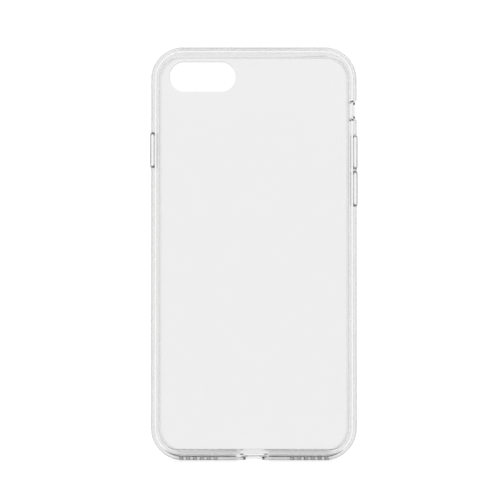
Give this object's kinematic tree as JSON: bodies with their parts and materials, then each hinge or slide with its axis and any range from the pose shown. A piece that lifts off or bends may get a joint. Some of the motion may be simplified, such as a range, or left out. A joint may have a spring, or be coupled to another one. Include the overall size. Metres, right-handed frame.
{
  "type": "phone case",
  "caption": "Clear push-on phone case with a hard flat back plate in a soft rounded frame, flexing button covers, camera opening, port opening and sound holes.",
  "frame": {"origin": "middle of the case's footprint, on the plane that its front lip rests on", "axes": "+X to the right seen from the back with the camera end up, +Y towards the camera end, +Z out of the back face; the case lies on its front lip, back up"},
  "size_m": [0.0712, 0.1414, 0.0095],
  "materials": {
    "clear_polycarbonate": "clear, polished",
    "clear_tpu_frame": "clear, soft, glossy",
    "clear_tpu_button": "clear, soft, glossy",
    "clear_tpu_web": "clear, soft, thin"
  },
  "bodies": {
    "case": {"bumper_frame": "clear_tpu_frame", "back_panel": "clear_polycarbonate", "power_button_web": "clear_tpu_web", "volume_up_button_web": "clear_tpu_web", "volume_down_button_web": "clear_tpu_web"},
    "power_cover": {"power_button": "clear_tpu_button"},
    "volume_up_cover": {"volume_up_button": "clear_tpu_button"},
    "volume_down_cover": {"volume_down_button": "clear_tpu_button"}
  },
  "joints": [
    {"name": "power_press", "type": "slide", "parent": "case", "child": "power_cover", "axis": [1, 0, 0], "range_m": [0, 0.0003], "stiffness_N_per_m": 5000, "deforming": ["power_button_web"]},
    {"name": "volume_up_press", "type": "slide", "parent": "case", "child": "volume_up_cover", "axis": [-1, 0, 0], "range_m": [0, 0.0003], "stiffness_N_per_m": 5000, "deforming": ["volume_up_button_web"]},
    {"name": "volume_down_press", "type": "slide", "parent": "case", "child": "volume_down_cover", "axis": [-1, 0, 0], "range_m": [0, 0.0003], "stiffness_N_per_m": 5000, "deforming": ["volume_down_button_web"]}
  ]
}
